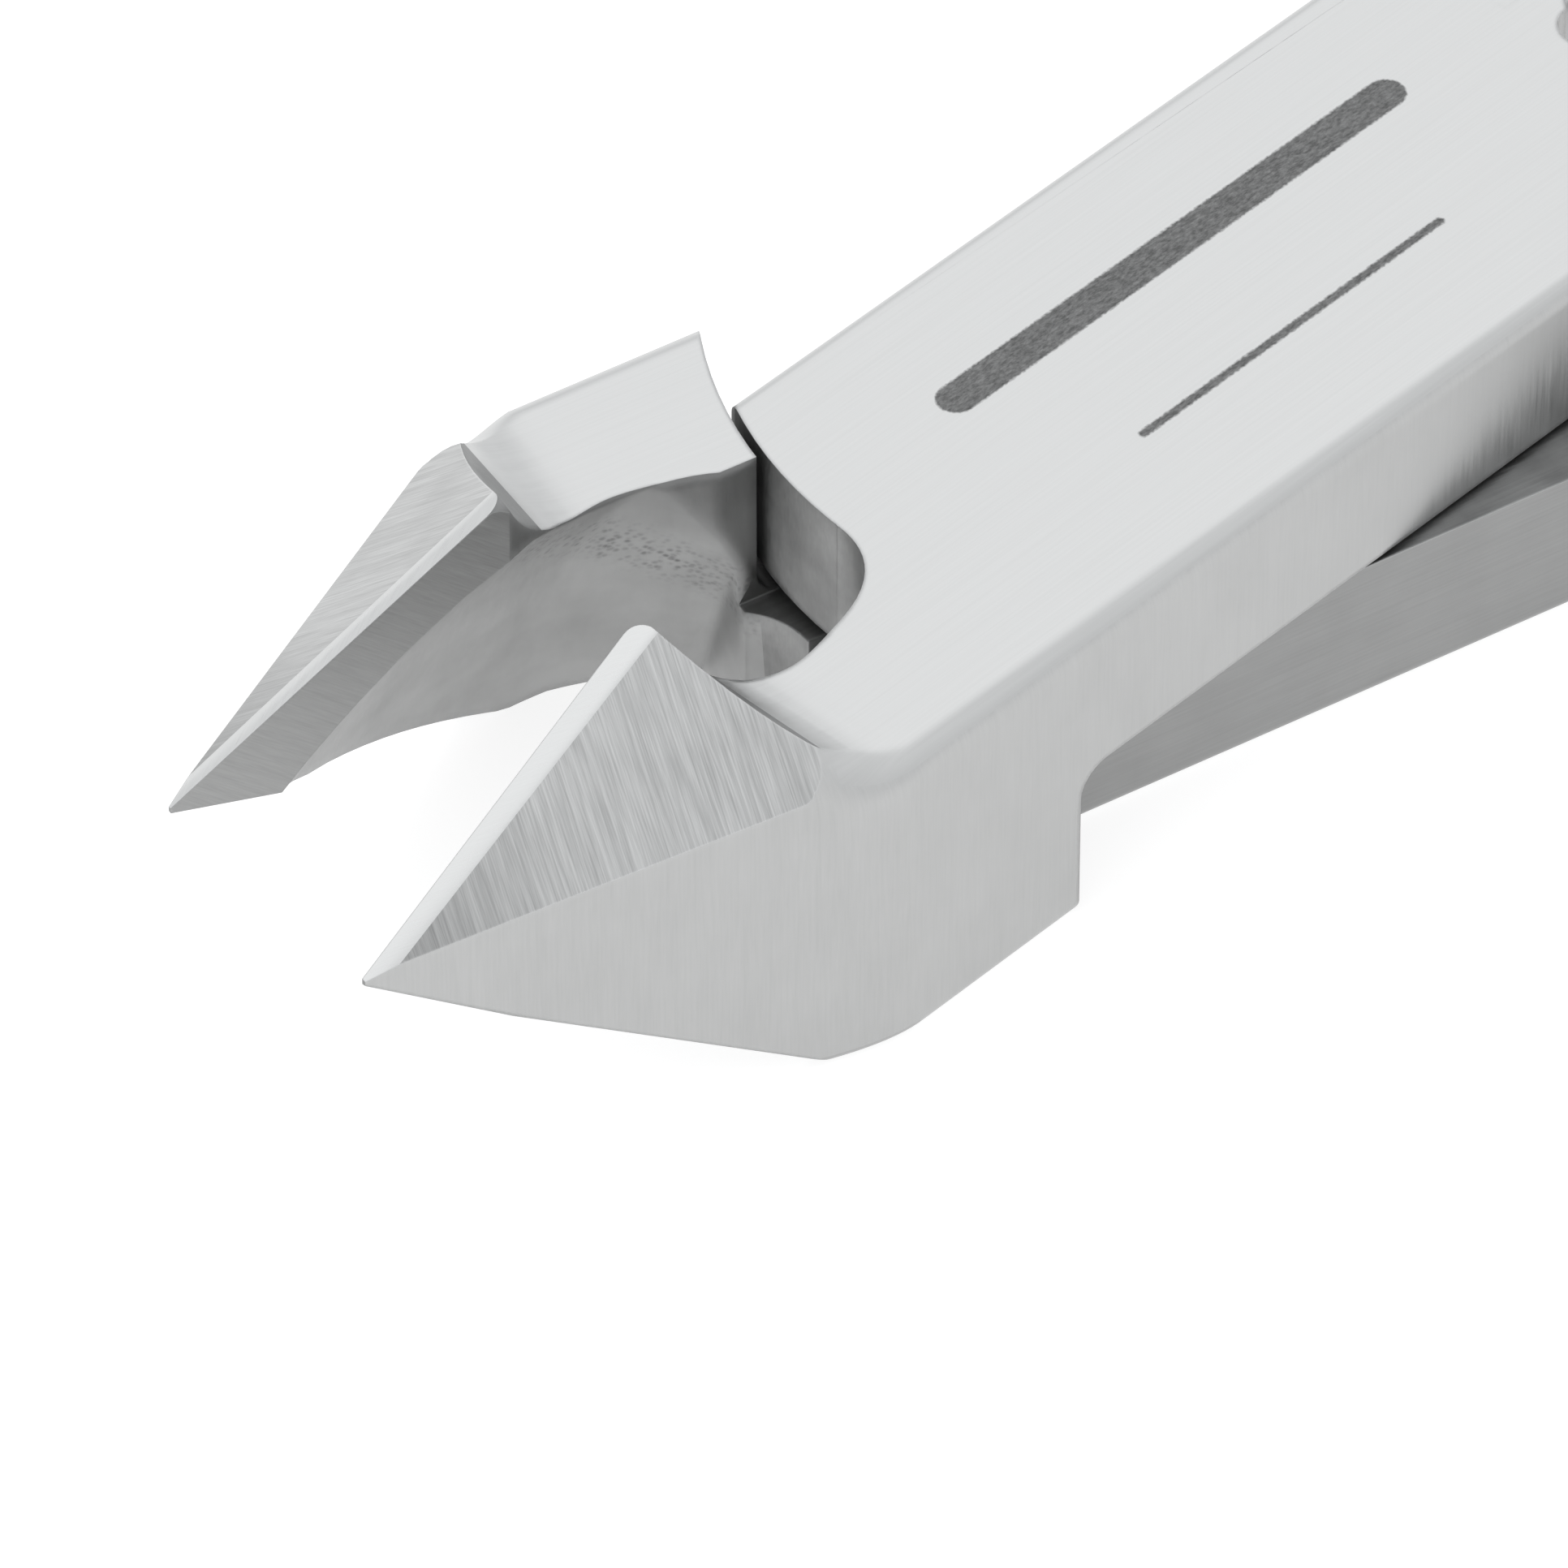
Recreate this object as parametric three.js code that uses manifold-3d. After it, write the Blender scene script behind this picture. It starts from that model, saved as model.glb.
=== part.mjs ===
// Lap-joint precision nippers: two forged levers crossing on a blind pivot rivet and pushed open by two leaf
// springs. Millimetres, +Z up. The tool lies flat on Z = 0, its tips toward -Y and its pivot on the Z axis.
//
// Each lever is drawn in its own closed frame: +X forward to the tips, +Y to the side its jaw is on, +Z up,
// with the origin on the pivot axis in the lap plane. The blades meet on Y = 0 when the tool is shut. The
// lower lever is the same drawing with its plate under the lap plane, mirrored across Y = 0.
import * as THREE from "three";
import { mergeVertices } from "three/addons/utils/BufferGeometryUtils.js";
import Module from "manifold-3d";

const wasm = await Module();
wasm.setup();

// Joint
const HALF_OPEN = THREE.MathUtils.degToRad(7.13); // how far each lever stands from shut, as drawn
const HALF_THICK = 2.66; // half the thickness of the joint
const HALF_WIDTH = 3.48; // half the width of the joint
const LAP_GAP = 0.1; // between the two plates
const SHOULDER_R = 7.52; // arc of the shoulders round the pivot
const PLATE_R = 7.38; // arc of the plate that turns inside them
const WEB_R = 7.82; // the jaw's hollow stops this far from the pivot, which leaves a web at the shoulder
const WEB_END = 0.56; // where that web ends, beside the blade plane
const ROOT_FILLET = 0.47; // hollow corner between shoulder and lap face
const PLATE_ROUND = 0.52; // rounded lap edge of the plate, which clears that corner
const EDGE_ROUND = 0.26; // long edges of the joint
const EDGES_FROM = -8.5; // where that rounding gives way to the handle's own
const EDGES_TO = 12.6; // past the ramp, where the facet has cut the edge away

// Jaw
const TIP = new THREE.Vector3(17.39, 0, 1.31);
const HEEL = new THREE.Vector3(11.96, 0, 4.445);
const FACET_NORMAL = new THREE.Vector3(0.4224, 0.5495, 0.7232).normalize();
const STRIP_NORMAL = new THREE.Vector3(0.4753, 0.315, 0.8213).normalize();
const STRIP_RISE = 0.075; // how far the facet stands above the cutting edge, which sets the strip's width
const TIP_FLAT = 0.06; // width left at the very tip
const TIP_HEIGHT = 0.1; // and height
const TOE = new THREE.Vector3(15.49, 1, -0.08); // where the jaw's sloping belly meets the waste under the tip
const UPPER_SLOPE = 0.591; // slope of the belly from there down to the flat underside
const LOWER_SLOPE = 0.506;
const CHEEK_FRONT = new THREE.Vector2(11.5, 2.98); // where the straight cheek begins to turn
const CHEEK_BACK = 9.9; // where it has turned parallel to the joint
const CHEEK_STEPS = 10;
const RAMP_START = 9.65; // where the top begins to rise to the heel
const RAMP_POWER = 3.1;
const RAMP_ROUND = 1.4; // the edge beside the ramp is rounder towards the facet
const RAMP_ROUND_START = 9.2;
const RAMP_ROUND_END = 11.6;
const HEEL_ROUND = 0.3;
// The inner edge of the top, from the notch's round corner to the heel
const RAMP_INNER = [
  new THREE.Vector2(8.71, 0.765),
  new THREE.Vector2(9.85, 0.92),
  new THREE.Vector2(11.0, 0.54),
  new THREE.Vector2(11.87, 0),
];
const HOLLOW = {
  centre: new THREE.Vector3(16, -0.4, -12),
  radii: new THREE.Vector3(8.4, 3.7, 17),
  pitch: -0.417,
  yaw: -0.3,
};
// The rear of the hollow: an upright cone, wider at its foot, whose plan is an ellipse
const BOWL = {
  centre: new THREE.Vector2(10.89, -0.35),
  radius: 2.54, // across the lever, at the lap plane
  widening: 0.287, // more for each millimetre down
  stretch: 1.425, // along the lever
};

// Handle stations: [x, outer y, inner y, top z, squareness of the section]
const HANDLE = [
  [-4.0, -3.48, -0.3, 2.66, 24],
  [-7.5, -3.5, -0.55, 2.66, 18],
  [-12, -4.75, -1.5, 2.62, 8],
  [-18, -6.7, -2.95, 2.45, 4.6],
  [-26, -8.8, -4.55, 2.2, 3.4],
  [-36, -10.7, -6.2, 1.95, 2.9],
  [-48, -11.8, -7.3, 1.75, 2.7],
  [-60, -11.8, -7.45, 1.6, 2.6],
  [-72, -10.7, -6.55, 1.45, 2.5],
  [-85, -8.7, -5.0, 1.3, 2.4],
];
const HANDLE_STEPS = 34;
const HANDLE_SIDES = 32;
const END_ROUND = 2.6; // length over which the end of the handle closes
const END_STEPS = 7;
const END_ANGLE = THREE.MathUtils.degToRad(83);

// Pivot rivet
const RIVET_R = 1.5;
const RIVET_HEAD_R = 1.95;
const RIVET_HEAD_DEPTH = 0.6;
const RIVET_TOP = 1.75; // its blind end, above the lap plane
const TURN_GAP = 0.08; // clearance round the rivet

// Leaf springs
const LEAF_THICK = 0.55;
const LEAF_HEIGHT = 3.4;
const LEAF_END_HEIGHT = 2.6;
const LEAF_ROOT = new THREE.Vector2(-11.6, -1.35); // ends of the flat that is screwed to the handle
const LEAF_BEND = new THREE.Vector2(-18.2, -2.95);
const LEAF_MEET = 42; // how far behind the pivot the two leaves meet
const LEAF_PASS = 1.6; // how far each leaf's end runs past the meeting point
const SEAT_GAP = 0.1;
const FORK_SLOT = 1.3;
const TONGUE = 0.8;
const HOOK_LENGTH = 4.2; // length of the slot and of the tongue

// Spring screws
const SCREW = { along: 0.45, headR: 1.25, headH: 0.55, shankR: 0.6, holeR: 0.72, depth: 2.0, slot: 0.35 };

const REACH = 40; // larger than any cut needs
const AXIS_Y = new THREE.Vector3(0, 1, 0);
const AXIS_Z = new THREE.Vector3(0, 0, 1);

// ---- Solids

function welded(geometry) {
  const bare = geometry.clone();
  bare.deleteAttribute("normal");
  bare.deleteAttribute("uv");
  return mergeVertices(bare, 1e-4);
}

function solid(geometry) {
  const merged = welded(geometry);
  const corners = merged.index.array;
  const kept = [];
  for (let i = 0; i < corners.length; i += 3) {
    const [a, b, c] = corners.subarray(i, i + 3);
    if (a !== b && b !== c && c !== a) kept.push(a, b, c);
  }
  return new wasm.Manifold(
    new wasm.Mesh({
      numProp: 3,
      vertProperties: new Float32Array(merged.attributes.position.array),
      triVerts: new Uint32Array(kept),
    }),
  );
}

function geometryOf(made) {
  const mesh = made.getMesh();
  const geometry = new THREE.BufferGeometry();
  geometry.setAttribute("position", new THREE.BufferAttribute(new Float32Array(mesh.vertProperties), 3));
  geometry.setIndex(new THREE.BufferAttribute(new Uint32Array(mesh.triVerts), 1));
  geometry.computeVertexNormals();
  return geometry;
}

function extruded(shape, depth) {
  return new THREE.ExtrudeGeometry(shape, { depth, bevelEnabled: false, curveSegments: 12 });
}

// A plan outline in X and Y, raised from one height to another.
function upright(shape, low, high) {
  return solid(extruded(shape, high - low).translate(0, 0, low));
}

// A side profile in X and Z, run across Y.
function across(shape, low, high) {
  return solid(extruded(shape, high - low).rotateX(Math.PI / 2).translate(0, high, 0));
}

// A profile of radii and heights, turned round Z. A negative half turns it upside down.
function turned(profile, half, segments = 120) {
  const geometry = new THREE.LatheGeometry(profile, segments).rotateX(Math.PI / 2);
  return solid(half < 0 ? geometry.rotateX(Math.PI) : geometry);
}

// Everything on the outer side of a plane.
function beyond(point, normal) {
  const geometry = new THREE.BoxGeometry(2 * REACH, 2 * REACH, REACH).translate(0, 0, REACH / 2);
  const turn = new THREE.Quaternion().setFromUnitVectors(AXIS_Z, normal);
  return solid(geometry.applyQuaternion(turn).translate(point.x, point.y, point.z));
}

function arcPoints(cx, cy, r, from, to, steps) {
  return Array.from({ length: steps + 1 }, (_, i) => {
    const angle = from + ((to - from) * i) / steps;
    return new THREE.Vector2(cx + r * Math.cos(angle), cy + r * Math.sin(angle));
  });
}

// ---- Joint

// The room that the other lever's plate turns in. Its rounded corner leaves a fillet at the shoulder.
function lapRoom(half) {
  const lap = LAP_GAP / 2;
  const r = ROOT_FILLET;
  const corner = arcPoints(SHOULDER_R - r, lap - r, r, 0, Math.PI / 2, 6);
  const profile = [
    new THREE.Vector2(0, -REACH / 4),
    new THREE.Vector2(SHOULDER_R, -REACH / 4),
    ...corner,
    new THREE.Vector2(0, lap),
  ];
  return turned(profile, half);
}

function plate(half) {
  const lap = LAP_GAP / 2;
  const r = PLATE_ROUND;
  const edge = arcPoints(PLATE_R - r, lap + r, r, -Math.PI / 2, 0, 6);
  const profile = [
    new THREE.Vector2(0, lap),
    ...edge,
    new THREE.Vector2(PLATE_R, HALF_THICK),
    new THREE.Vector2(0, HALF_THICK),
  ];
  const strip = new THREE.BoxGeometry(REACH, 2 * HALF_WIDTH, REACH);
  return turned(profile, half).intersect(solid(strip));
}

// The corner that is cut off to round an edge. Its two faces look along X and Y.
function cornerWaste(r) {
  const over = 0.3;
  return [
    new THREE.Vector2(over, over),
    new THREE.Vector2(-r, over),
    ...arcPoints(-r, -r, r, Math.PI / 2, 0, 8),
    new THREE.Vector2(over, -r),
  ];
}

// The waste outside a rounded edge that runs through stations, each with a point, the way that its side looks
// and a radius. The edge's other face looks up, or down.
function edgeWaste(stations, up) {
  const rings = stations.map(({ point, out, radius }) =>
    cornerWaste(radius).map((p) => point.clone().addScaledVector(out, p.x).addScaledVector(up, p.y)),
  );
  const sides = rings[0].length;
  const corners = [];
  for (let ring = 0; ring < rings.length - 1; ring++) {
    for (let i = 0; i < sides; i++) {
      const a = ring * sides + i;
      const b = ring * sides + ((i + 1) % sides);
      corners.push([a, a + sides, b], [b, a + sides, b + sides]);
    }
  }
  const last = (rings.length - 1) * sides;
  for (const [a, b, c] of THREE.ShapeUtils.triangulateShape(cornerWaste(stations[0].radius), [])) {
    corners.push([a, b, c], [last + a, last + c, last + b]);
  }
  const forward = stations[1].point.clone().sub(stations[0].point);
  const facing = forward.cross(stations[0].out).dot(up) > 0;
  const geometry = new THREE.BufferGeometry().setFromPoints(rings.flat());
  geometry.setIndex(corners.flatMap(([a, b, c]) => (facing ? [c, b, a] : [a, b, c])));
  return solid(geometry);
}

// The edges of the joint: straight along the handle's side, and round the cheek on the jaw's side.
function jointEdges() {
  const edges = [];
  const inward = AXIS_Y.clone().negate();
  const straight = new THREE.Vector2(TIP.x, TIP_FLAT).sub(CHEEK_FRONT).normalize();
  const end = CHEEK_FRONT.clone().addScaledVector(straight, (EDGES_TO - CHEEK_FRONT.x) / straight.x);
  for (const z of [-1, 1]) {
    const up = new THREE.Vector3(0, 0, z);
    const station = (p, out) => ({
      point: new THREE.Vector3(p.x, p.y, z > 0 ? rampHeight(p.x) : -HALF_THICK),
      out,
      radius: z > 0 ? edgeRound(p.x) : EDGE_ROUND,
    });
    const beside = (p, along) => station(p, new THREE.Vector3(-along.y, along.x, 0));
    const turn = Array.from({ length: CHEEK_STEPS + 1 }, (_, i) =>
      beside(cheek().getPoint(i / CHEEK_STEPS), cheek().getTangent(i / CHEEK_STEPS)),
    );
    const start = new THREE.Vector2(EDGES_FROM, HALF_WIDTH);
    edges.push(edgeWaste([station(start, AXIS_Y), ...turn, beside(end, straight)], up));
    const inner = [EDGES_FROM, SHOULDER_R].map((x) => station(new THREE.Vector2(x, -HALF_WIDTH), inward));
    edges.push(edgeWaste(inner, up));
  }
  return edges;
}

// ---- Jaw

// The side of the jaw, from where it is parallel to the joint to where it runs straight to the tip.
function cheek() {
  const control = new THREE.Vector2(CHEEK_FRONT.x - 0.98, HALF_WIDTH - 0.02);
  return new THREE.QuadraticBezierCurve(new THREE.Vector2(CHEEK_BACK, HALF_WIDTH), control, CHEEK_FRONT);
}

// Beside the plate it reaches a little over the blade plane, where the notch's corner meets the plate's arc.
function jawPlan() {
  return new THREE.Shape([
    new THREE.Vector2(2, HALF_WIDTH),
    ...cheek().getPoints(CHEEK_STEPS),
    new THREE.Vector2(TIP.x, TIP_FLAT),
    new THREE.Vector2(TIP.x, 0),
    new THREE.Vector2(PLATE_R + 0.24, 0),
    new THREE.Vector2(PLATE_R + 0.24, -0.6),
    new THREE.Vector2(2, -0.6),
  ]);
}

// The height of the top face, which rises behind the facet to the heel of the cutting edge.
function rampHeight(x) {
  const t = Math.max(0, x - RAMP_START) / (HEEL.x - RAMP_START);
  return HALF_THICK + (HEEL.z - HALF_THICK) * t ** RAMP_POWER;
}

// How round the edge between the cheek and the top is.
function edgeRound(x) {
  const t = THREE.MathUtils.clamp((x - RAMP_ROUND_START) / (RAMP_ROUND_END - RAMP_ROUND_START), 0, 1);
  return EDGE_ROUND + (RAMP_ROUND - EDGE_ROUND) * t ** 1.3;
}

function jawSide(half) {
  const corner = TOE.x - (HALF_THICK + TOE.z) / (half > 0 ? UPPER_SLOPE : LOWER_SLOPE);
  const steps = 18;
  const crest = HEEL.x + 0.2;
  const ramp = Array.from({ length: steps + 1 }, (_, i) => {
    const x = RAMP_START + ((crest - RAMP_START) * i) / steps;
    return new THREE.Vector2(x, rampHeight(x));
  });
  return new THREE.Shape([
    new THREE.Vector2(2, -HALF_THICK),
    new THREE.Vector2(corner - 0.13, -HALF_THICK),
    new THREE.Vector2(corner + 0.1, -HALF_THICK + 0.06),
    new THREE.Vector2(TOE.x, TOE.z),
    new THREE.Vector2(TIP.x, TIP.z - TIP_HEIGHT),
    new THREE.Vector2(TIP.x, HEEL.z + 1),
    new THREE.Vector2(crest, HEEL.z + 1),
    ...ramp.reverse(),
    new THREE.Vector2(2, HALF_THICK),
  ]);
}

// The hollow ground behind the cutting edge. At its rear it closes in a rounder bowl.
function hollow() {
  const turn = new THREE.Matrix4()
    .makeRotationY(HOLLOW.pitch)
    .multiply(new THREE.Matrix4().makeRotationZ(HOLLOW.yaw))
    .multiply(new THREE.Matrix4().makeScale(HOLLOW.radii.x, HOLLOW.radii.y, HOLLOW.radii.z));
  const ball = new THREE.SphereGeometry(1, 72, 54).applyMatrix4(turn);
  const tall = 6;
  const radius = (z) => BOWL.radius - BOWL.widening * z;
  const bowl = new THREE.CylinderGeometry(radius(tall), radius(-tall), 2 * tall, 96)
    .rotateX(Math.PI / 2)
    .scale(BOWL.stretch, 1, 1)
    .translate(BOWL.centre.x, BOWL.centre.y, 0);
  const ahead = new THREE.BoxGeometry(REACH, REACH, 2 * tall).translate(BOWL.centre.x + REACH / 2, 0, 0);
  return solid(ball.translate(HOLLOW.centre.x, HOLLOW.centre.y, HOLLOW.centre.z)).intersect(
    solid(bowl).add(solid(ahead)),
  );
}

// The waste beside the blade plane: the notch between plate and jaw, whose round corner runs on along the
// inner edge of the ramp to the heel. On the shoulder's side of the lap it stops at the web, cut square.
function notch(half) {
  const outline = new THREE.Shape();
  outline.moveTo(PLATE_R, -1);
  outline.lineTo(PLATE_R - 0.02, -0.55);
  const [start, ...rest] = RAMP_INNER;
  outline.bezierCurveTo(PLATE_R + 0.02, -0.05, PLATE_R + 0.27, 0.54, start.x, start.y);
  outline.splineThru(rest);
  outline.lineTo(rest.at(-1).x, -1);
  const open = upright(outline, -REACH, REACH);
  const square = new THREE.Shape([
    new THREE.Vector2(4, -1),
    new THREE.Vector2(WEB_R + 0.3, -1),
    new THREE.Vector2(WEB_R + 0.3, WEB_END),
    new THREE.Vector2(4, WEB_END),
  ]);
  const webbed = open.subtract(disc(WEB_R, -REACH, REACH)).add(upright(square, -REACH, REACH));
  const above = beyond(new THREE.Vector3(0, 0, (LAP_GAP / 2) * half), AXIS_Z);
  const [top, bottom] = half > 0 ? [open, webbed] : [webbed, open];
  return top.intersect(above).add(bottom.subtract(above));
}

// The waste under the tip, which leaves the cutting edge a thin point.
function underTip() {
  const side = TOE.clone();
  const back = new THREE.Vector3(16.23, 0, 0.88);
  const point = new THREE.Vector3(TIP.x, 0, TIP.z - TIP_HEIGHT);
  const normal = new THREE.Vector3().crossVectors(back.sub(point), side.sub(point)).normalize();
  return beyond(point, normal).intersect(solid(new THREE.BoxGeometry(6, 8, 8).translate(16.6, 0, 0)));
}

// The corner at the heel, between the cutting edge and the crest of the ramp, rounded square to the strip.
function heelWaste() {
  const along = new THREE.Vector3().subVectors(HEEL, TIP).normalize();
  const crest = new THREE.Vector3().crossVectors(FACET_NORMAL, along).normalize();
  const outward = crest.y > 0 ? crest.negate() : crest;
  const square = new THREE.Vector3().crossVectors(along, outward);
  const basis = new THREE.Matrix4().makeBasis(along, outward, square).setPosition(HEEL);
  const waste = extruded(new THREE.Shape(cornerWaste(HEEL_ROUND)), 1.6).translate(0, 0, -0.8);
  return solid(waste.applyMatrix4(basis));
}

function jaw(half) {
  const facetPoint = TIP.clone().addScaledVector(FACET_NORMAL, STRIP_RISE);
  return upright(jawPlan(), -HALF_THICK - 1, HEEL.z + 2)
    .intersect(across(jawSide(half), -1, HALF_WIDTH + 1))
    .subtract(beyond(facetPoint, FACET_NORMAL))
    .subtract(beyond(TIP, STRIP_NORMAL))
    .subtract(underTip())
    .subtract(hollow().subtract(disc(WEB_R, -REACH, REACH)))
    .subtract(notch(half))
    .subtract(heelWaste());
}

// ---- Handle

// The handle's section at a fraction of its length: its two sides, its top and how square it is.
function handleSection(t) {
  const [outer, inner, top, square] = [1, 2, 3, 4].map((column) => {
    const points = HANDLE.map((row) => new THREE.Vector3(row[0], row[column], 0));
    return new THREE.CatmullRomCurve3(points).getPoint(t);
  });
  return { outer, inner, top: top.y, square: square.y };
}

// Rings along the handle: even along its body, then closing on a quarter ellipse at its end.
function handleRing(i) {
  const length = HANDLE[0][0] - HANDLE[HANDLE.length - 1][0];
  const body = 1 - END_ROUND / length;
  if (i <= HANDLE_STEPS) return { t: (body * i) / HANDLE_STEPS, close: 1 };
  const angle = ((i - HANDLE_STEPS) / END_STEPS) * END_ANGLE;
  return { t: body + (1 - body) * Math.sin(angle), close: Math.cos(angle) };
}

function handle() {
  const rings = HANDLE_STEPS + END_STEPS;
  const geometry = welded(new THREE.CylinderGeometry(1, 1, 1, HANDLE_SIDES, rings));
  const position = geometry.attributes.position;
  for (let i = 0; i < position.count; i++) {
    const { t, close } = handleRing(Math.round((0.5 - position.getY(i)) * rings));
    const rim = Math.hypot(position.getX(i), position.getZ(i)) * close;
    const angle = Math.atan2(position.getZ(i), position.getX(i));
    const { outer, inner, top, square } = handleSection(t);
    const bend = (value) => (Math.abs(value) < 1e-6 ? 0 : Math.sign(value) * Math.abs(value) ** (2 / square));
    const halfHeight = (top + HALF_THICK) / 2;
    const u = rim * bend(Math.sin(angle));
    const v = rim * bend(Math.cos(angle));
    const y = (outer.y + inner.y + u * (inner.y - outer.y)) / 2;
    position.setXYZ(i, (outer.x + inner.x) / 2, y, top - halfHeight + v * halfHeight);
  }
  return solid(geometry);
}

// The hollow corner where the plate's rear arc runs into the inner edge of the handle.
function crotch(half) {
  const r = 0.5;
  const inner = -0.57;
  const shape = new THREE.Shape([
    new THREE.Vector2(-6.8, 0.2),
    new THREE.Vector2(-6.8, -1.2),
    new THREE.Vector2(-8.4, -1.2),
    ...arcPoints(-PLATE_R - r, inner + r, r, -Math.PI / 2, 0, 8),
  ]);
  return upright(shape, half > 0 ? LAP_GAP / 2 : -HALF_THICK, half > 0 ? HALF_THICK : -LAP_GAP / 2);
}

// ---- Fastenings

function disc(radius, low, high) {
  const geometry = new THREE.CylinderGeometry(radius, radius, high - low, 96).rotateX(Math.PI / 2);
  return solid(geometry.translate(0, 0, (low + high) / 2));
}

function rivetProfile(gap) {
  return [
    new THREE.Vector2(0, -HALF_THICK),
    new THREE.Vector2(RIVET_HEAD_R + gap, -HALF_THICK),
    new THREE.Vector2(RIVET_R + gap, -HALF_THICK + RIVET_HEAD_DEPTH),
    new THREE.Vector2(RIVET_R + gap, RIVET_TOP + gap),
    new THREE.Vector2(0, RIVET_TOP + gap),
  ];
}

// Where the spring screw stands: on the seat, with its axis square to it and pointing inward.
function screwPlace() {
  const along = new THREE.Vector2().subVectors(LEAF_BEND, LEAF_ROOT);
  const point = LEAF_ROOT.clone().addScaledVector(along, SCREW.along);
  const out = new THREE.Vector3(along.y, -along.x, 0).normalize();
  const basis = new THREE.Matrix4().makeBasis(AXIS_Z, new THREE.Vector3().crossVectors(out, AXIS_Z), out);
  return basis.setPosition(point.x, point.y, 0);
}

// The flat on the handle that the leaf is screwed to, and the hole for the screw.
function leafSeat() {
  const along = new THREE.Vector2().subVectors(LEAF_BEND, LEAF_ROOT);
  const seat = new THREE.BoxGeometry(2 * HALF_THICK + 2, along.length() + 1.6, 4).translate(0, 0, 2);
  const hole = new THREE.CylinderGeometry(SCREW.holeR, SCREW.holeR, 2 * SCREW.depth, 32);
  const middle = screwPlace().setPosition(
    (LEAF_ROOT.x + LEAF_BEND.x) / 2,
    (LEAF_ROOT.y + LEAF_BEND.y) / 2,
    0,
  );
  return solid(seat.applyMatrix4(middle)).add(solid(hole.rotateX(Math.PI / 2).applyMatrix4(screwPlace())));
}

function lever(half) {
  const waste = [lapRoom(half), turned(rivetProfile(TURN_GAP), 1, 48), ...jointEdges()];
  const whole = plate(half).add(jaw(half)).add(handle().subtract(leafSeat())).add(crotch(half));
  return waste.reduce((made, cut) => made.subtract(cut), whole);
}

function rivet() {
  return turned(rivetProfile(0), 1, 48);
}

// ---- Leaf spring

// The leaf's line in plan: flat on its seat, then one long bend to a little past where the two leaves meet.
function leafLine() {
  const along = new THREE.Vector2().subVectors(LEAF_BEND, LEAF_ROOT).normalize();
  const lift = new THREE.Vector2(-along.y, along.x).multiplyScalar(-(SEAT_GAP + LEAF_THICK / 2));
  const root = LEAF_ROOT.clone().add(lift);
  const bend = LEAF_BEND.clone().add(lift);
  const far = LEAF_MEET + LEAF_PASS;
  const end = new THREE.Vector2(-far * Math.cos(HALF_OPEN), far * Math.sin(HALF_OPEN) + 0.45);
  const path = new THREE.CurvePath();
  path.add(new THREE.LineCurve(root, bend));
  path.add(
    new THREE.CubicBezierCurve(
      bend,
      bend.clone().addScaledVector(along, 9),
      new THREE.Vector2(end.x + 9.5, end.y - 4.2),
      end,
    ),
  );
  return path;
}

function leafPlan() {
  const path = leafLine();
  const steps = 40;
  const sides = [[], []];
  for (let i = 0; i <= steps; i++) {
    const point = path.getPoint(i / steps);
    const tangent = path.getTangent(i / steps);
    const across = new THREE.Vector2(-tangent.y, tangent.x);
    sides[0].push(point.clone().addScaledVector(across, LEAF_THICK / 2));
    sides[1].push(point.clone().addScaledVector(across, -LEAF_THICK / 2));
  }
  return new THREE.Shape([...sides[0], ...sides[1].reverse()]);
}

// The leaf's height, seen from the side: even along the seat, then tapering, with a rounded root.
function leafSide() {
  const root = LEAF_ROOT.x + 0.2;
  const end = -(LEAF_MEET + LEAF_PASS) - 1;
  const shape = new THREE.Shape();
  shape.moveTo(LEAF_BEND.x, -LEAF_HEIGHT / 2);
  shape.lineTo(root - 0.9, -LEAF_HEIGHT / 2);
  shape.quadraticCurveTo(root, -LEAF_HEIGHT / 2, root, -LEAF_HEIGHT / 2 + 0.9);
  shape.lineTo(root, LEAF_HEIGHT / 2 - 0.9);
  shape.quadraticCurveTo(root, LEAF_HEIGHT / 2, root - 0.9, LEAF_HEIGHT / 2);
  shape.lineTo(LEAF_BEND.x, LEAF_HEIGHT / 2);
  shape.lineTo(end, LEAF_END_HEIGHT / 2);
  shape.lineTo(end, -LEAF_END_HEIGHT / 2);
  return shape;
}

function leaf(forked) {
  const hole = new THREE.CylinderGeometry(SCREW.holeR, SCREW.holeR, 6, 32).rotateX(Math.PI / 2);
  const hookX = -(LEAF_MEET + LEAF_PASS) + HOOK_LENGTH - REACH / 2;
  const band = (height, z) => solid(new THREE.BoxGeometry(REACH, REACH, height).translate(hookX, 0, z));
  const made = upright(leafPlan(), -LEAF_HEIGHT, LEAF_HEIGHT)
    .intersect(across(leafSide(), -REACH, REACH))
    .subtract(solid(hole.applyMatrix4(screwPlace())));
  if (forked) return made.subtract(band(FORK_SLOT, 0));
  const waste = (REACH - TONGUE) / 2;
  return made.subtract(band(waste, (TONGUE + waste) / 2)).subtract(band(waste, -(TONGUE + waste) / 2));
}

function springScrew() {
  const seat = 2 * SEAT_GAP + LEAF_THICK;
  const crown = arcPoints(SCREW.headR - 0.2, seat + SCREW.headH - 0.2, 0.2, 0, Math.PI / 2, 4);
  const profile = [
    new THREE.Vector2(0, -SCREW.depth + 0.2),
    new THREE.Vector2(SCREW.shankR, -SCREW.depth + 0.2),
    new THREE.Vector2(SCREW.shankR, seat),
    new THREE.Vector2(SCREW.headR, seat),
    ...crown,
    new THREE.Vector2(0, seat + SCREW.headH),
  ];
  const slot = new THREE.BoxGeometry(SCREW.slot, 3 * SCREW.headR, 0.5).translate(0, 0, seat + SCREW.headH);
  return turned(profile, 1, 40).subtract(solid(slot));
}

// ---- Assembly

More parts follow.
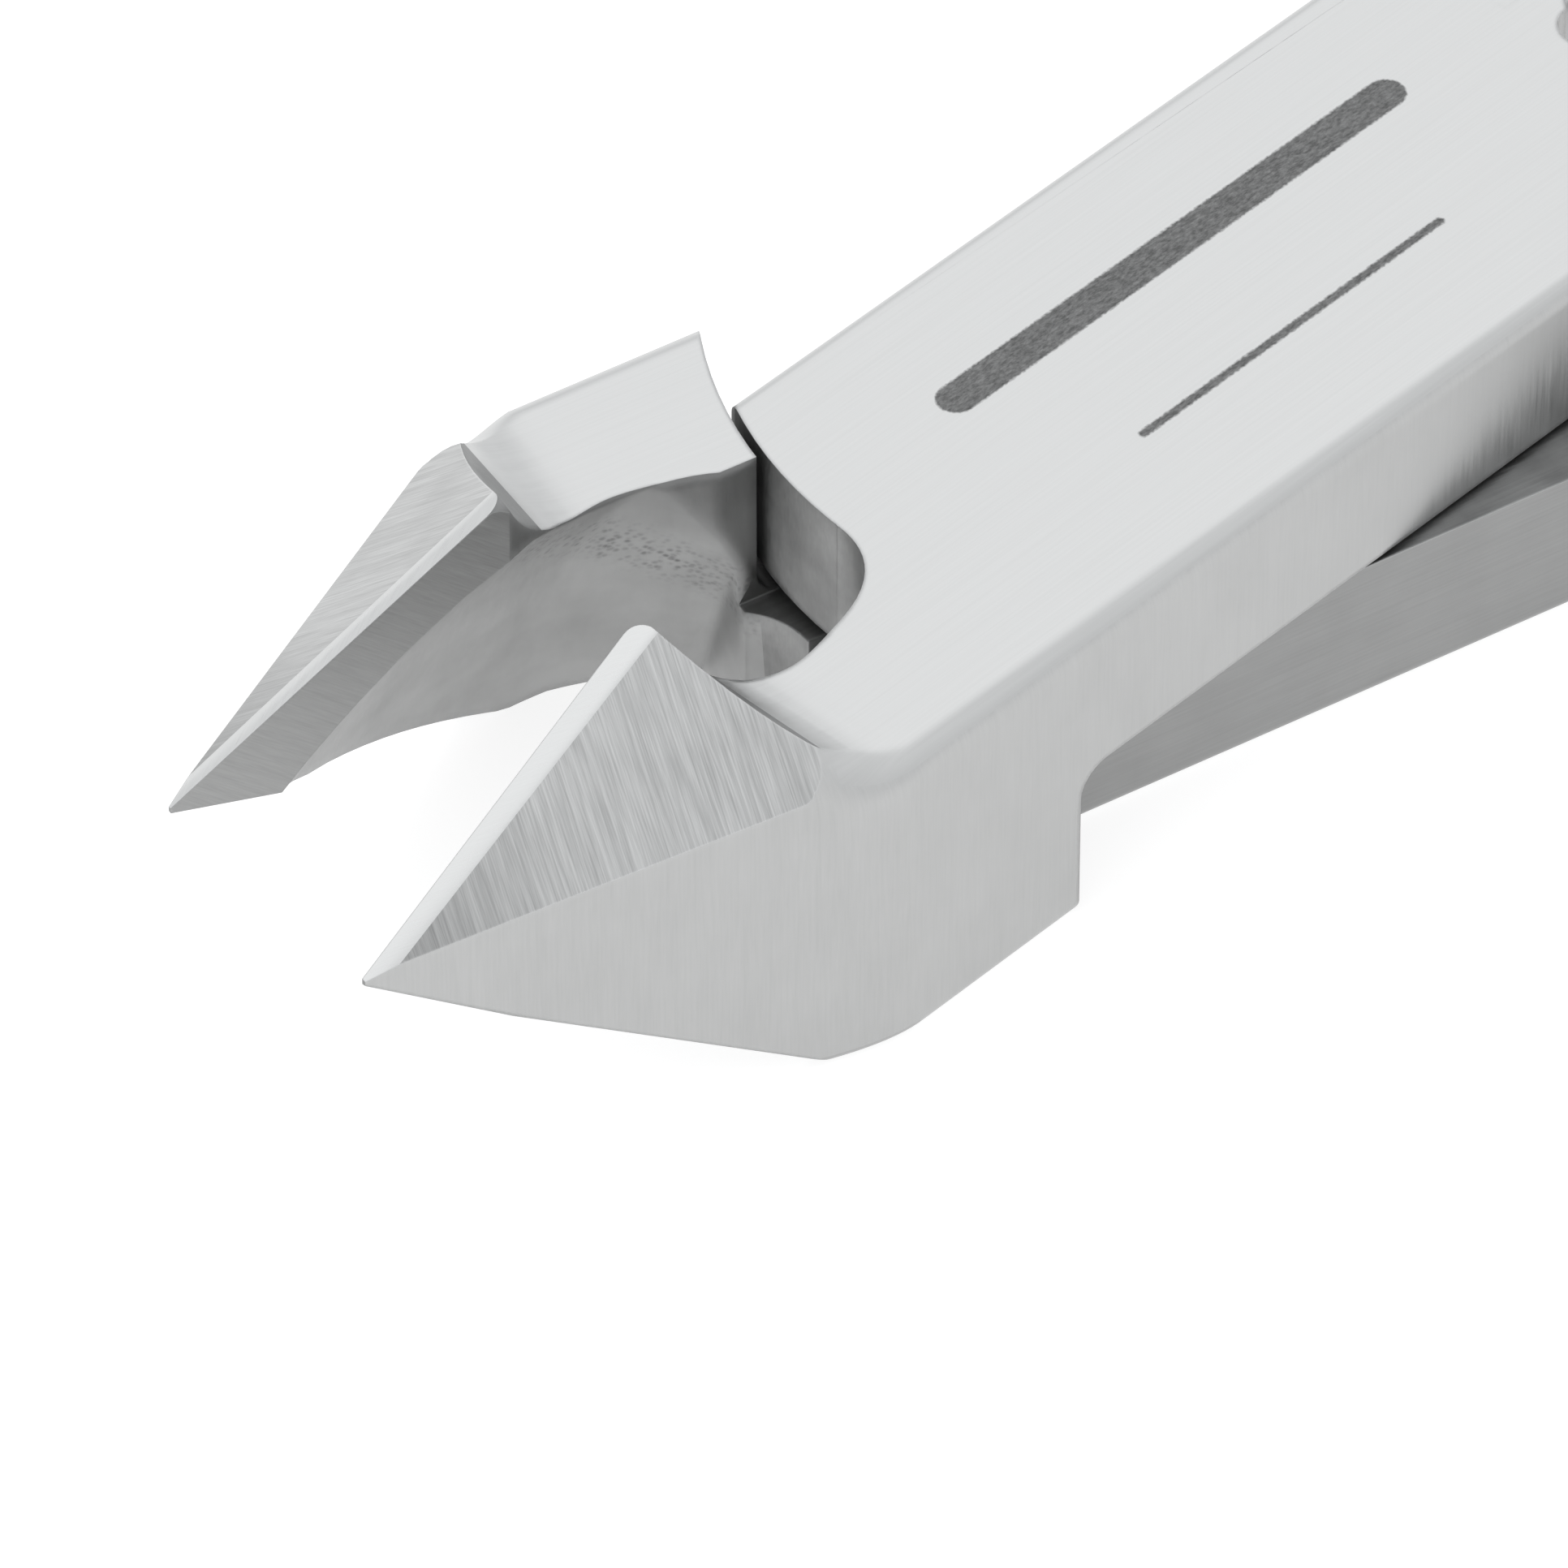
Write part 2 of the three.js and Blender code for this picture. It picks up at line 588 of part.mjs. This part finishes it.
const steel = new THREE.MeshStandardMaterial({ color: 0xc9cccd, roughness: 0.34, metalness: 1 });
const springSteel = new THREE.MeshStandardMaterial({ color: 0xb9bcbe, roughness: 0.28, metalness: 1 });
const screwSteel = new THREE.MeshStandardMaterial({ color: 0xc2c4c6, roughness: 0.22, metalness: 1 });

function mesh(name, made, material) {
  const piece = new THREE.Mesh(geometryOf(made), material);
  piece.name = name;
  return piece;
}

function side(name, half) {
  const group = new THREE.Group();
  group.position.z = HALF_THICK;
  group.rotation.z = -Math.PI / 2 + half * HALF_OPEN;
  group.scale.y = half;
  group.add(mesh(`${name}_lever`, lever(half), steel));
  group.add(mesh(`${name}_spring_leaf`, leaf(half > 0), springSteel));
  const screw = mesh(`${name}_spring_screw`, springScrew(), screwSteel);
  screw.applyMatrix4(screwPlace());
  group.add(screw);
  return group;
}

const nippers = new THREE.Group();
const upper = side("upper", 1);
const lower = side("lower", -1);
upper.add(mesh("pivot_rivet", rivet(), screwSteel));
nippers.add(upper, lower);

export default nippers;
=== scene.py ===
"""The looks of a pair of small lap-joint nippers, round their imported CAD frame. Metres, +Z up."""

import math

import bpy
from mathutils import Matrix, Vector


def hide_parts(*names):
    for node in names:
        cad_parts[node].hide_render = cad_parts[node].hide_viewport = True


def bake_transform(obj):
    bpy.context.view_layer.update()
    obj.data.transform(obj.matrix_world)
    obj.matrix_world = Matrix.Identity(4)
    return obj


MM = 0.001
MICRON = 1e-6
HALVES = {"upper": 1, "lower": -1}

# Directions in the part's own frame
UP = Vector((0, 0, 1))
WIDTH = Vector((1, 0, 0))
LENGTH = Vector((0, 1, 0))

# Each lever's own frame: X forward to the tips, Y to the side its jaw is on, Z up from the lap plane.
# Places in it are in millimetres. The joint's limits are just outside its round walls and just inside
# its flat faces.
HALF_OPEN = math.radians(7.13)
LAP_HEIGHT = 2.66 * MM
FACET_NORMAL = Vector((0.4224, 0.5495, 0.7232)).normalized()
STRIP_NORMAL = Vector((0.4753, 0.315, 0.8213)).normalized()
HANDLE_START = -9
HOLLOW_START = 7.38
BELLY_START = 9
FACET_START = 10
EDGE_START = 11
EDGE_PLANE = 0.02
LAP_BAND = 0.6
JOINT_REACH = 7.62
JOINT_SIDE = 3.3
JOINT_FACE = 2.6

# How nearly a face's normal must agree with a direction, as a cosine
SAME_AS_STRIP = 0.999
SAME_AS_FACET = 0.997
SAME_AS_EDGE_PLANE = 0.995
LEVEL = 0.9
NOT_LEVEL = 0.8
TOP_LEAN = 0.6
FLANK_LEAN = 0.6
HOLLOW_LEAN = 0.25
BELLY_LEAN = 0.15

# Springs: how round a leaf's edges are
LEAF_ROUND = 0.1 * MM

# Steel: its tint, the lighter tone painted on surfaces that face up (painted light from above), its brush
# lines, its edges brightened as wear and painted highlight, and its patches
STEEL_TINT = (1.0, 1.006, 1.002)
# Painted light: the lighter tone that surfaces facing up go over to, between these cosines of their lean
PAINTED_TOP_LIGHT = 0.585
PAINTED_TOP_COSINES = (0.3, 0.85)
USUAL_NOISE = (0.3, 0.7)
FINE_SHARE = 0.7
BROAD_SHARE = 0.3
BROAD_LENGTH = 3
BROAD_WIDTH = 4
STREAK_DEPTH = 4
ROUGH_SPREAD = (-0.06, 0.08)
# Edges: which count as sharp, and the gain that brightens them, partly as wear and partly as a painted
# highlight
SHARP_EDGE_COSINES = (0.995, 0.9)
WEAR_AND_HIGHLIGHT_GAIN = 1.6
EDGE_SAMPLES = 6
PATCH_SIZE = 1.1
FACET_LEAN = 0.22
EDGE_SLANT = 0.9

# Pits: their band's slant and how its two sides fade, then how many, how deep and how patchy they are
PIT_SLANT = 0.7
PIT_BAND_LOW = (-0.35, 0.25)
PIT_BAND_HIGH = (-0.3, 0.35)
PIT_SCALE = 9000.0
PIT_WALL = (0.1, 0.7)
PIT_DEPTH = 0.42
PIT_PATCH_SIZE = 0.22
PIT_PATCHES = (-0.15, 1.3)

# Etched mark: each bar's middle, its reach each way from there, and its half thickness
MARK_BARS = (((-0.2, -1.2), 4.5, 0.3), ((-0.1, 1.2), 3.1, 0.07))
MARK_SOFTNESS = 0.02
MARK_RAGGEDNESS = 0.012
MARK_RAG_SIZE = 0.06 * MM
MARK_GRAIN = (0.12 * MM, 0.05 * MM)
MARK_GRAIN_RANGE = (0.35, 0.7)
MARK_ROUGHNESS = 0.6
MARK_DEPTH = 1.5
INK_DARK = 0.12
INK_LIGHT = 0.27

# Meshes
WELD_DISTANCE = 2 * MICRON
FLAT_ANGLE = math.radians(0.4)
ROUND_ANGLE = math.radians(40)
ROUND_STEPS = 3
SHARP_ANGLE = math.radians(32)

# Camera, aimed beside the pivot, and its lens and sensor in millimetres
AZIMUTH = 51.02
ELEVATION = 44.05
DISTANCE = 226.74 * MM
AIM_LEFT = 6.276 * MM
AIM_DOWN = 5.103 * MM
LENS = 363.35
SENSOR = 36
NEAREST = 10 * MM

# Light. A softbox has its azimuth and elevation in degrees, its distance and size in metres, and its watts.
WORLD = 0.95
WORLD_COLOUR = (0.98, 0.99, 1.0, 1)
FLOOR_SIZE = 6
FLOOR_TONE = 0.35
FLOOR_ROUGHNESS = 0.9
FLOOR_GLOW = 0.8
SOFTBOXES = {
    "back_softbox": (231, 55, 0.7, 0.7, 0.55),
    "top_softbox": (20, 75, 0.8, 0.6, 0.4),
}


# ---- Node trees

class Graph:
    """A material's nodes, added one by one. An input is a number, a vector or another node's output."""

    def __init__(self, material):
        self.nodes = material.node_tree.nodes
        self.links = material.node_tree.links

    def add(self, kind, inputs=(), **settings):
        node = self.nodes.new("ShaderNode" + kind)
        for key, value in settings.items():
            setattr(node, key, value)
        for key, value in dict(inputs).items():
            if isinstance(value, bpy.types.NodeSocket):
                self.links.new(value, node.inputs[key])
            else:
                node.inputs[key].default_value = value
        return node

    def math(self, operation, *values):
        inputs = dict(enumerate(values))
        return self.add("Math", inputs, operation=operation).outputs[0]

    def dot(self, vector, direction):
        inputs = {0: vector, 1: direction}
        return self.add("VectorMath", inputs, operation="DOT_PRODUCT").outputs["Value"]

    def between(self, value, low, high, to_low, to_high, smooth=False):
        kind = "SMOOTHSTEP" if smooth else "LINEAR"
        inputs = {"Value": value, "From Min": low, "From Max": high, "To Min": to_low, "To Max": to_high}
        return self.add("MapRange", inputs, interpolation_type=kind, clamp=True).outputs["Result"]

    def noise(self, vector, detail=2.0, rough=0.5):
        inputs = {"Vector": vector, "Scale": 1.0, "Detail": detail, "Roughness": rough}
        return self.add("TexNoise", inputs, noise_dimensions="3D").outputs["Fac"]

    def spread(self, noise, to_low, to_high):
        """Stretches the range that a noise usually has to another one."""
        return self.between(noise, *USUAL_NOISE, to_low, to_high)

    def blend(self, factor, a, b, how="MIX"):
        inputs = {"Factor": factor, 6: a, 7: b}
        return self.add("Mix", inputs, data_type="RGBA", blend_type=how).outputs[2]

    def shine(self, inputs):
        """Ends the tree with the surface's shader."""
        shader = self.add("BsdfPrincipled", inputs)
        output = self.add("OutputMaterial")
        self.links.new(shader.outputs[0], output.inputs["Surface"])


def new_material(name):
    material = bpy.data.materials.new(name)
    material.use_nodes = True
    material.node_tree.nodes.clear()
    return material


def grey(value):
    return tuple(value * part for part in STEEL_TINT) + (1.0,)


def stretched(graph, place, along, across, length, width):
    """Coordinates in which noise makes streaks of that length and width, in metres."""
    third = along.cross(across).normalized()
    inputs = {
        "X": graph.math("DIVIDE", graph.dot(place, along), length),
        "Y": graph.math("DIVIDE", graph.dot(place, across), width),
        "Z": graph.math("DIVIDE", graph.dot(place, third), width * STREAK_DEPTH),
    }
    return graph.add("CombineXYZ", inputs).outputs[0]


# ---- Steel

def rounded_edges(graph, radius):
    """The normal that rounds the edges, and a mask of the sharp ones. The radius is in metres."""
    rounded = graph.add("Bevel", {"Radius": radius}, samples=EDGE_SAMPLES).outputs[0]
    flat = graph.add("NewGeometry").outputs["Normal"]
    return rounded, graph.between(graph.dot(rounded, flat), *SHARP_EDGE_COSINES, 0.0, 1.0)


def brushing(graph, place, along, across, length, streak):
    """Brush lines from 0 to 1, about 0.5 on average: fine ones, and broader ones through them."""
    fine = graph.noise(stretched(graph, place, along, across, length, streak), 3.0, 0.6)
    longer = BROAD_LENGTH * length
    wider = BROAD_WIDTH * streak
    broad = graph.noise(stretched(graph, place, along, across, longer, wider), 2.0)
    fine_part = graph.math("MULTIPLY", fine, FINE_SHARE)
    return graph.math("ADD", fine_part, graph.math("MULTIPLY", broad, BROAD_SHARE))


def cloud(graph, place, size, detail, low, high):
    """Soft patches of about that size in millimetres, from low to high."""
    inputs = {0: place, 1: (1 / (size * MM),) * 3}
    grown = graph.add("VectorMath", inputs, operation="MULTIPLY").outputs[0]
    return graph.spread(graph.noise(grown, detail), low, high)


def pitting(graph, place, band):
    """Small pits in a band, which has a direction across it and its two sides along that, in millimetres."""
    across, low, high = band
    height = graph.dot(place, across / MM)
    rise = graph.between(height, *(low + step for step in PIT_BAND_LOW), 0.0, 1.0, smooth=True)
    fall = graph.between(height, *(high + step for step in PIT_BAND_HIGH), 1.0, 0.0, smooth=True)
    here = graph.math("MULTIPLY", rise, fall)
    cells = {"Vector": place, "Scale": PIT_SCALE, "Randomness": 1.0}
    lumps = graph.add("TexVoronoi", cells).outputs["Distance"]
    patches = graph.math("MAXIMUM", cloud(graph, place, PIT_PATCH_SIZE, 3.0, *PIT_PATCHES), 0.0)
    deep = graph.math("MULTIPLY", graph.between(lumps, *PIT_WALL, PIT_DEPTH, 0.0, smooth=True), here)
    return graph.math("MULTIPLY", deep, patches)


def toning(graph, place, normal, lines, tone, contrast, painted_top_light, painted_shade_fade, mottle):
    """What the steel's tone is multiplied by from place to place: its brush lines, painted light where it
    faces up, painted shade along a direction, and its patches.
    """
    shade = graph.spread(lines, 1 - contrast, 1 + contrast)
    # Painted light: the tone goes lighter where the surface faces up
    if painted_top_light:
        facing = graph.dot(normal, UP)
        lit_from_above = graph.between(facing, *PAINTED_TOP_COSINES, 1.0, painted_top_light / tone, smooth=True)
        shade = graph.math("MULTIPLY", shade, lit_from_above)
    # Painted shade: the tone darkens past a place along a direction
    if painted_shade_fade:
        direction, start, end, after = painted_shade_fade
        painted_shading = graph.between(graph.dot(place, direction / MM), start, end, 1.0, after, smooth=True)
        shade = graph.math("MULTIPLY", shade, painted_shading)
    if mottle:
        patches = cloud(graph, place, PATCH_SIZE, 5.0, 1 - mottle, 1 + mottle)
        shade = graph.math("MULTIPLY", shade, patches)
    return shade


def etch(graph, etched, grain, colour, roughness, height):
    """The colour, roughness and height with a mark etched into them."""
    light = graph.between(grain, *MARK_GRAIN_RANGE, 0.0, 1.0)
    ink = graph.blend(light, grey(INK_DARK), grey(INK_LIGHT))
    dull = {"Factor": etched, 2: roughness, 3: MARK_ROUGHNESS}
    return (
        graph.blend(etched, colour, ink),
        graph.add("Mix", dull, data_type="FLOAT").outputs[0],
        graph.math("SUBTRACT", height, graph.math("MULTIPLY", etched, MARK_DEPTH)),
    )


def steel(name, tone, along, across, streak=0.06, length=2.5, contrast=0.1, rough=0.34, bump=1.2,
          mottle=0.0, pits=None, edge_wear_and_highlight=0.24, blur=0.05, painted_top_light=None, painted_shade_fade=None, mark=None):
    """Ground or brushed steel. The brush lines' size and the edges' blur are in millimetres, the bump in
    microns. Where the surface faces up, its tone goes over to a lighter one, which is painted light. A fade
    is painted
    shade: a direction, the two places along it in millimetres between which the tone changes, and what
    multiplies the tone past them. The edges are brightened, partly as wear and partly as a painted
    highlight."""
    material = new_material(name)
    graph = Graph(material)
    place = graph.add("TexCoord").outputs["Object"]
    normal, worn_and_highlit = rounded_edges(graph, blur * MM)
    lines = brushing(graph, place, along, across, length * MM, streak * MM)
    shade = toning(graph, place, normal, lines, tone, contrast, painted_top_light, painted_shade_fade, mottle)
    height = lines
    if pits:
        pit = pitting(graph, place, pits)
        shade = graph.math("MULTIPLY", shade, graph.math("SUBTRACT", 1.0, pit))
        height = graph.math("SUBTRACT", height, pit)
    colour = graph.blend(1.0, grey(tone), shade, "MULTIPLY")
    # The sharp edges are brightened, partly as wear and partly as a painted highlight
    if edge_wear_and_highlight:
        colour = graph.blend(graph.math("MULTIPLY", worn_and_highlit, edge_wear_and_highlight), colour, grey(tone * WEAR_AND_HIGHLIGHT_GAIN))
    roughness = graph.spread(lines, rough + ROUGH_SPREAD[0], rough + ROUGH_SPREAD[1])
    if mark:
        grain = graph.noise(stretched(graph, place, along, across, *MARK_GRAIN), 4.0, 0.7)
        colour, roughness, height = etch(graph, mark(graph, place), grain, colour, roughness, height)
    bumped = graph.add("Bump", {"Distance": bump * MICRON, "Height": height, "Normal": normal}).outputs[0]
    graph.shine({"Base Color": colour, "Metallic": 1.0, "Roughness": roughness, "Normal": bumped})
    return material


def lever_matrix(half):
    """Takes a lever's own frame to the part's frame."""
    turn = Matrix.Rotation(-math.pi / 2 + half * HALF_OPEN, 4, "Z")
    return Matrix.Translation((0, 0, LAP_HEIGHT)) @ turn @ Matrix.Diagonal((1, half, 1, 1))


def round_bar(graph, u, v, middle, reach, thick):
    """How far a point is outside a bar with round ends, by its middle, reach each way and half thickness."""
    ahead = graph.math("ABSOLUTE", graph.math("SUBTRACT", u, middle[0]))
    past = graph.math("MAXIMUM", graph.math("SUBTRACT", ahead, reach), 0.0)
    aside = graph.math("SUBTRACT", v, middle[1])
    squares = graph.math("ADD", graph.math("MULTIPLY", past, past), graph.math("MULTIPLY", aside, aside))
    return graph.math("SUBTRACT", graph.math("SQRT", squares), thick)


def plain_mark(along, across):
    """A generic etched mark on the top: a plain bar and a hairline beside it."""
    def mask(graph, place):
        u = graph.dot(place, along / MM)
        v = graph.dot(place, across / MM)
        wide, thin = [round_bar(graph, u, v, *bar) for bar in MARK_BARS]
        ragged = graph.noise(stretched(graph, place, along, across, MARK_RAG_SIZE, MARK_RAG_SIZE), 3.0)
        wobble = graph.spread(ragged, -MARK_RAGGEDNESS, MARK_RAGGEDNESS)
        outside = graph.math("ADD", graph.math("MINIMUM", wide, thin), wobble)
        return graph.between(outside, -MARK_SOFTNESS, MARK_SOFTNESS, 1.0, 0.0)

    return mask


def facet_brushing(turn, half):
    """The directions along the facet's brush lines, which run up it and lean a little, and across them."""
    facet = turn @ FACET_NORMAL
    rise = (UP - facet * facet.dot(UP)).normalized()
    aside = rise.cross(facet).normalized()
    along = (rise - FACET_LEAN * aside * half).normalized()
    return along, along.cross(facet).normalized()


def lever_materials(name, half):
    """The finishes of a lever, by the name of the face that has them."""
    turn = lever_matrix(half).to_3x3()
    forward = turn @ Vector((1, 0, 0))
    side = turn @ Vector((0, 1, 0))
    facet_along, facet_across = facet_brushing(turn, half)
    slant = (forward + EDGE_SLANT * UP).normalized()
    slant_across = slant.cross(side).normalized()
    looks = {
        "top": (0.49, forward, side, dict(
            contrast=0.045, length=3, streak=0.04, bump=0.8, painted_top_light=PAINTED_TOP_LIGHT, blur=0.12,
            mark=plain_mark(forward, side) if half > 0 else None)),
        "side": (0.465, UP, forward, dict(
            contrast=0.05, length=0.9, streak=0.04, bump=0.8, mottle=0.02, painted_top_light=PAINTED_TOP_LIGHT, blur=0.12)),
        # Painted shade: the jaw's faces that lean down are a darker copy of the side's steel
        "shaded_belly": (0.4, UP, forward, dict(
            contrast=0.05, length=0.9, streak=0.04, bump=0.8, mottle=0.02)),
        # Painted shade: the walls that face away from the jaw are a darker copy of the steel
        "shaded_flank": (0.3, forward, UP, dict(
            contrast=0.07, length=1.6, streak=0.04, bump=1, mottle=0.04, painted_top_light=PAINTED_TOP_LIGHT)),
        "facet": (0.49, facet_along, facet_across, dict(
            contrast=0.25, length=0.9, streak=0.025, bump=1.6, rough=0.4, mottle=0.04, edge_wear_and_highlight=0.6,
            # Painted shade: the facet darkens toward the tip
            painted_shade_fade=(forward, 14.2, 17.0, 0.7))),
        "strip": (0.65, facet_across, facet_along, dict(
            contrast=0.05, length=0.4, streak=0.03, bump=0.4, rough=0.3, edge_wear_and_highlight=0, blur=0.02)),
        "inner": (0.36, slant, slant_across, dict(
            contrast=0.16, length=0.7, streak=0.03, bump=1.5, rough=0.42)),
        "hollow": (0.36, UP, forward, dict(
            contrast=0.05, length=0.4, streak=0.1, bump=4, rough=0.45, blur=0.4, edge_wear_and_highlight=0, mottle=0.09,
            # Painted shade: the hollow darkens toward its top
            pits=(UP - PIT_SLANT * forward, -3.1, -2.25), painted_shade_fade=(UP, 3.4, 5.2, 0.8))),
        # Milled lap faces, given a dark tone that is partly painted shade from the gap between the levers
        "milled_and_shaded": (0.31, forward, side, dict(
            contrast=0.12, length=1.0, streak=0.05, bump=2, rough=0.45, mottle=0.25)),
        "handle": (0.3, forward, UP, dict(
            contrast=0.06, length=4, streak=0.05, bump=1, rough=0.32, mottle=0.03, painted_top_light=PAINTED_TOP_LIGHT)),
    }
    materials = {}
    for kind, (tone, along, across, look) in looks.items():
        materials[kind] = steel(name + "_" + kind, tone, along, across, **look)
    return materials


def in_joint(point, normal):
    """Whether a face is a wall of the lap joint: the round end of a plate, or the shoulder round it."""
    x, y, z = point
    near = math.hypot(x, y) < JOINT_REACH
    return near and abs(z) < JOINT_FACE and abs(y) < JOINT_SIDE and abs(normal.z) < NOT_LEVEL


def face_finish(point, normal):
    """Which finish a face of a lever has, from its middle and its normal in the lever's own frame."""
    x, y, z = point
    if x < HANDLE_START:
        return "handle"
    if x > EDGE_START and normal.dot(STRIP_NORMAL) > SAME_AS_STRIP:
        return "strip"
    if x > FACET_START and normal.dot(FACET_NORMAL) > SAME_AS_FACET:
        return "facet"
    # Lap faces and joint walls take the dark milled finish, which is partly painted shade between the levers
    if abs(z) < LAP_BAND and abs(normal.z) > LEVEL:
        return "milled_and_shaded"
    if in_joint(point, normal):
        return "milled_and_shaded"
    if x > EDGE_START and abs(y) < EDGE_PLANE and normal.y < -SAME_AS_EDGE_PLANE:
        return "inner"
    if x > HOLLOW_START and normal.y < HOLLOW_LEAN and normal.z < NOT_LEVEL:
        return "hollow"
    # Painted shade: faces of the jaw that lean down get the darker belly tone
    if x > BELLY_START and normal.y > 0 and normal.z < -BELLY_LEAN:
        return "shaded_belly"
    if abs(normal.z) > TOP_LEAN:
        return "top"
    # Painted shade: walls facing away from the jaw get the darker flank tone
    return "shaded_flank" if normal.y < -FLANK_LEAN else "side"


# ---- Meshes

def smooth_by_angle():
    """A node group that shades smoothly, but keeps edges over the sharp angle sharp."""
    group = bpy.data.node_groups.new("smooth_by_angle", "GeometryNodeTree")
    group.interface.new_socket("Geometry", in_out="INPUT", socket_type="NodeSocketGeometry")
    group.interface.new_socket("Geometry", in_out="OUTPUT", socket_type="NodeSocketGeometry")
    start = group.nodes.new("NodeGroupInput")
    end = group.nodes.new("NodeGroupOutput")
    faces = group.nodes.new("GeometryNodeSetShadeSmooth")
    edges = group.nodes.new("GeometryNodeSetShadeSmooth")
    edges.domain = "EDGE"
    edges.inputs["Shade Smooth"].default_value = False
    angle = group.nodes.new("GeometryNodeInputMeshEdgeAngle")
    sharp = group.nodes.new("FunctionNodeCompare")
    sharp.operation = "GREATER_THAN"
    sharp.inputs["B"].default_value = SHARP_ANGLE
    group.links.new(angle.outputs["Unsigned Angle"], sharp.inputs["A"])
    group.links.new(sharp.outputs[0], edges.inputs["Selection"])
    group.links.new(start.outputs[0], faces.inputs["Geometry"])
    group.links.new(faces.outputs[0], edges.inputs["Geometry"])
    group.links.new(edges.outputs[0], end.inputs[0])
    return group


def refine(piece, smoothing, radius=0.0):
    """Joins the faces, merges flat ones, rounds the edges and shades smoothly between the sharp ones."""
    weld = piece.modifiers.new("weld", "WELD")
    weld.merge_threshold = WELD_DISTANCE
    flat = piece.modifiers.new("flat", "DECIMATE")
    flat.decimate_type = "DISSOLVE"
    flat.angle_limit = FLAT_ANGLE
    flat.delimit = {"MATERIAL"}
    if radius:
        rounding = piece.modifiers.new("rounding", "BEVEL")
        rounding.width = radius
        rounding.segments = ROUND_STEPS
        rounding.limit_method = "ANGLE"
        rounding.angle_limit = ROUND_ANGLE
    nodes = piece.modifiers.new("smooth", "NODES")
    nodes.node_group = smoothing
    weights = piece.modifiers.new("weights", "WEIGHTED_NORMAL")
    weights.keep_sharp = True


def repaint(piece, materials):
    piece.data.materials.clear()
    for material in materials:
        piece.data.materials.append(material)


def paint_lever(lever, name, half):
    """Gives each face of a lever its finish."""
    materials = lever_materials(name, half)
    repaint(lever, materials.values())
    order = list(materials)
    back = lever_matrix(half).inverted()
    for face in lever.data.polygons:
        point = back @ face.center / MM
        normal = (back.to_3x3() @ face.normal).normalized()
        face.material_index = order.index(face_finish(point, normal))


def spring_leaf(name, material, smoothing):
    """A spring leaf, whose root is on its own lever and whose tip is midway between the two: a copy of the
    CAD leaf with its material, rounded edges and smooth shading, in place of the CAD one.
    """
    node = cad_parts[name + "_spring_leaf"]
    leaf = bpy.data.objects.new(name + "_leaf", node.data.copy())
    bpy.context.scene.collection.objects.link(leaf)
    repaint(leaf, [material])
    refine(leaf, smoothing, LEAF_ROUND)
    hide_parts(name + "_spring_leaf")
    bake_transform(leaf)


def trim(node, material, smoothing):
    """Gives a screw or the rivet its material and its shading."""
    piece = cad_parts[node]
    repaint(piece, [material])
    refine(piece, smoothing)


# ---- Stage

def floor():
    bpy.ops.mesh.primitive_plane_add(size=FLOOR_SIZE)
    plane = bpy.context.object
    plane.name = "floor"
    material = new_material("floor_white")
    Graph(material).shine({
        "Base Color": (FLOOR_TONE, FLOOR_TONE, FLOOR_TONE, 1),
        "Roughness": FLOOR_ROUGHNESS,
        "Emission Color": (1, 1, 1, 1),
        "Emission Strength": FLOOR_GLOW,
    })
    plane.data.materials.append(material)


def towards(azimuth, elevation):
    """The direction from the object to a place seen at that azimuth and elevation, in degrees."""
    a = math.radians(azimuth)
    e = math.radians(elevation)
    return Vector((math.sin(a) * math.cos(e), -math.cos(a) * math.cos(e), math.sin(e)))


def softbox(name, azimuth, elevation, distance, size, watts):
    light = bpy.data.lights.new(name, "AREA")
    light.shape = "SQUARE"
    light.size = size
    light.energy = watts
    lamp = bpy.data.objects.new(name, light)
    bpy.context.scene.collection.objects.link(lamp)
    direction = towards(azimuth, elevation)
    lamp.location = direction * distance
    lamp.rotation_euler = direction.to_track_quat("Z", "Y").to_euler()


def lights():
    world = bpy.data.worlds.new("studio")
    bpy.context.scene.world = world
    world.use_nodes = True
    background = world.node_tree.nodes["Background"]
    background.inputs["Color"].default_value = WORLD_COLOUR
    background.inputs["Strength"].default_value = WORLD
    for name, settings in SOFTBOXES.items():
        softbox(name, *settings)
    bpy.context.scene.view_settings.view_transform = "Standard"


def camera():
    away = towards(AZIMUTH, ELEVATION)
    right = UP.cross(away).normalized()
    up = away.cross(right)
    data = bpy.data.cameras.new("camera")
    data.lens = LENS
    data.sensor_width = SENSOR
    data.clip_start = NEAREST
    eye = bpy.data.objects.new("camera", data)
    bpy.context.scene.collection.objects.link(eye)
    eye.location = LAP_HEIGHT * UP - right * AIM_LEFT - up * AIM_DOWN + away * DISTANCE
    eye.rotation_euler = away.to_track_quat("Z", "Y").to_euler()
    bpy.context.scene.camera = eye


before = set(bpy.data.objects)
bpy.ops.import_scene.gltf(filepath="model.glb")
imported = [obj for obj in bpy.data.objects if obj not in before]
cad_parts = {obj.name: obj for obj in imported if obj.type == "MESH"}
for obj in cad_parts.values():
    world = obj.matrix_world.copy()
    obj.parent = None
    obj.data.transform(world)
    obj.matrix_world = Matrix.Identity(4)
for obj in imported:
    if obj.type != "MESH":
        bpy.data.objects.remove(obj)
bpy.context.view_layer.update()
camera()
lights()
floor()
smoothing = smooth_by_angle()
spring_steel = steel("spring_steel", 0.48, LENGTH, UP, contrast=0.08, length=3, streak=0.05, bump=0.8,
                     rough=0.24)
screw_steel = steel("screw_steel", 0.5, WIDTH, UP, contrast=0.06, length=0.6, streak=0.04, bump=0.6,
                    rough=0.22)
for name, half in HALVES.items():
    body = name + "_lever"
    paint_lever(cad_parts[body], name, half)
    refine(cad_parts[body], smoothing)
    spring_leaf(name, spring_steel, smoothing)
    trim(name + "_spring_screw", screw_steel, smoothing)
trim("pivot_rivet", screw_steel, smoothing)
